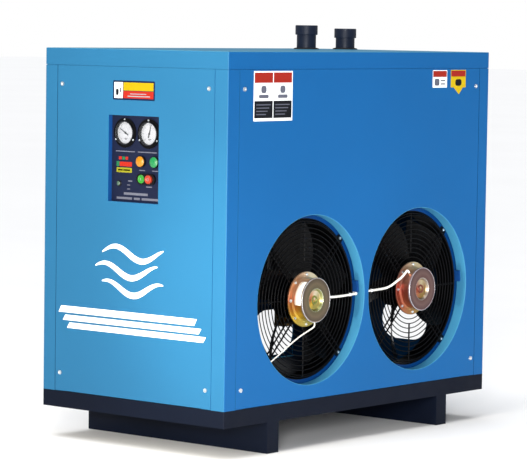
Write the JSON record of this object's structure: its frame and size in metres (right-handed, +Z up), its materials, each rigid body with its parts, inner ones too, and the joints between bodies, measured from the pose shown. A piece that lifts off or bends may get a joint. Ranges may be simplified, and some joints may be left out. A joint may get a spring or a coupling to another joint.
{
  "type": "refrigerated air dryer",
  "caption": "Refrigerated compressed-air dryer: sheet-metal cabinet on two skids with side fans behind wire guards, a recessed gauge panel and threaded air connections on top.",
  "frame": {"origin": "on the floor, at the middle of the part's footprint", "axes": "+Z up, the control panel faces -Y, the fans face +X"},
  "size_m": [0.723, 1.251, 1.213],
  "materials": {
    "cabinet_blue": "light blue powder coat, semi-gloss",
    "cabinet_blue_side": "light blue powder coat, semi-gloss",
    "cabinet_blue_top": "light blue powder coat, semi-gloss",
    "base_navy": "dark navy powder coat, semi-gloss",
    "panel_navy": "dark navy printed plate, satin",
    "zinc_steel": "bright zinc plate",
    "guard_black": "black coated wire",
    "motor_zinc": "yellow passivated zinc",
    "blade_black": "black powder coat, satin",
    "black_plastic": "black moulded plastic",
    "gauge_black": "black enamel steel",
    "pointer_black": "matt black",
    "dial_white": "white enamel",
    "clear_glass": "clear",
    "lens_yellow": "translucent, glossy",
    "lens_green": "translucent, glossy",
    "button_green": "moulded, glossy",
    "button_red": "moulded, glossy",
    "black_rubber": "moulded rubber",
    "white_cable": "smooth white sheath",
    "vessel_foam": "black closed-cell insulation over the vessel",
    "bowl_aluminium": "cast, blasted",
    "valve_brass": "machined",
    "compressor_black": "black enamel",
    "coil_aluminium": "plain fins, copper bends",
    "copper_tube": "bare copper, slightly tarnished",
    "drier_paint": "green enamel"
  },
  "bodies": {
    "cabinet": {"post_front_left": "cabinet_blue", "post_front_right": "cabinet_blue", "post_rear_left": "cabinet_blue", "post_rear_right": "cabinet_blue", "top_frame": "cabinet_blue", "front_panel": "cabinet_blue", "left_panel": "cabinet_blue", "rear_panel": "cabinet_blue", "front_fan_shroud": "cabinet_blue", "rear_fan_shroud": "cabinet_blue", "right_panel": "cabinet_blue_side", "top_cover": "cabinet_blue_top", "base_tray": "base_navy", "skid_front": "base_navy", "skid_rear": "base_navy", "pipe_sockets": "base_navy", "air_inlet_pipe": "base_navy", "air_outlet_pipe": "base_navy", "instrument_recess": "panel_navy", "instrument_plate": "panel_navy", "skid_bolts": "zinc_steel", "panel_screws": "zinc_steel", "fan_fasteners": "zinc_steel", "fan_bearings": "zinc_steel", "compressor_mounts": "zinc_steel", "front_fan_guard": "guard_black", "rear_fan_guard": "guard_black", "left_intake_guard": "guard_black", "front_fan_motor": "motor_zinc", "rear_fan_motor": "motor_zinc", "button_housing": "black_plastic", "lamp_bodies": "black_plastic", "cable_gland": "black_plastic", "contactor_box": "black_plastic", "gauge_cases": "gauge_black", "gauge_dials": "dial_white", "gauge_lenses": "clear_glass", "yellow_lamp_lens": "lens_yellow", "green_lamp_lens": "lens_green", "pipe_grommets": "black_rubber", "front_fan_cable": "white_cable", "rear_fan_cable": "white_cable", "heat_exchanger": "vessel_foam", "water_separator": "bowl_aluminium", "drain_valve": "valve_brass", "drain_line": "valve_brass", "compressor": "compressor_black", "condenser_coil": "coil_aluminium", "discharge_line": "copper_tube", "liquid_line": "copper_tube", "suction_line": "copper_tube", "filter_drier": "drier_paint"},
    "front_fan": {"front_fan_impeller": "blade_black", "front_fan_shaft": "zinc_steel"},
    "rear_fan": {"rear_fan_impeller": "blade_black", "rear_fan_shaft": "zinc_steel"},
    "left_pointer": {"gauge_pointer_left": "pointer_black"},
    "right_pointer": {"gauge_pointer_right": "pointer_black"},
    "start_cap": {"start_button": "button_green"},
    "stop_cap": {"stop_button": "button_red"}
  },
  "joints": [
    {"name": "front_fan_spin", "type": "hinge", "parent": "cabinet", "child": "front_fan", "pos_m": [0.28, -0.236, 0.426], "axis": [1, 0, 0], "continuous": true},
    {"name": "rear_fan_spin", "type": "hinge", "parent": "cabinet", "child": "rear_fan", "pos_m": [0.28, 0.275, 0.426], "axis": [1, 0, 0], "continuous": true},
    {"name": "left_gauge_turn", "type": "hinge", "parent": "cabinet", "child": "left_pointer", "pos_m": [-0.0463, -0.605, 0.9], "axis": [0, 1, 0], "range_deg": [-75, 195]},
    {"name": "right_gauge_turn", "type": "hinge", "parent": "cabinet", "child": "right_pointer", "pos_m": [0.045, -0.605, 0.9], "axis": [0, 1, 0], "range_deg": [-151, 119]},
    {"name": "start_press", "type": "slide", "parent": "cabinet", "child": "start_cap", "axis": [0, 1, 0], "range_m": [0, 0.0035], "stiffness_N_per_m": 400},
    {"name": "stop_press", "type": "slide", "parent": "cabinet", "child": "stop_cap", "axis": [0, 1, 0], "range_m": [0, 0.0035], "stiffness_N_per_m": 400}
  ]
}
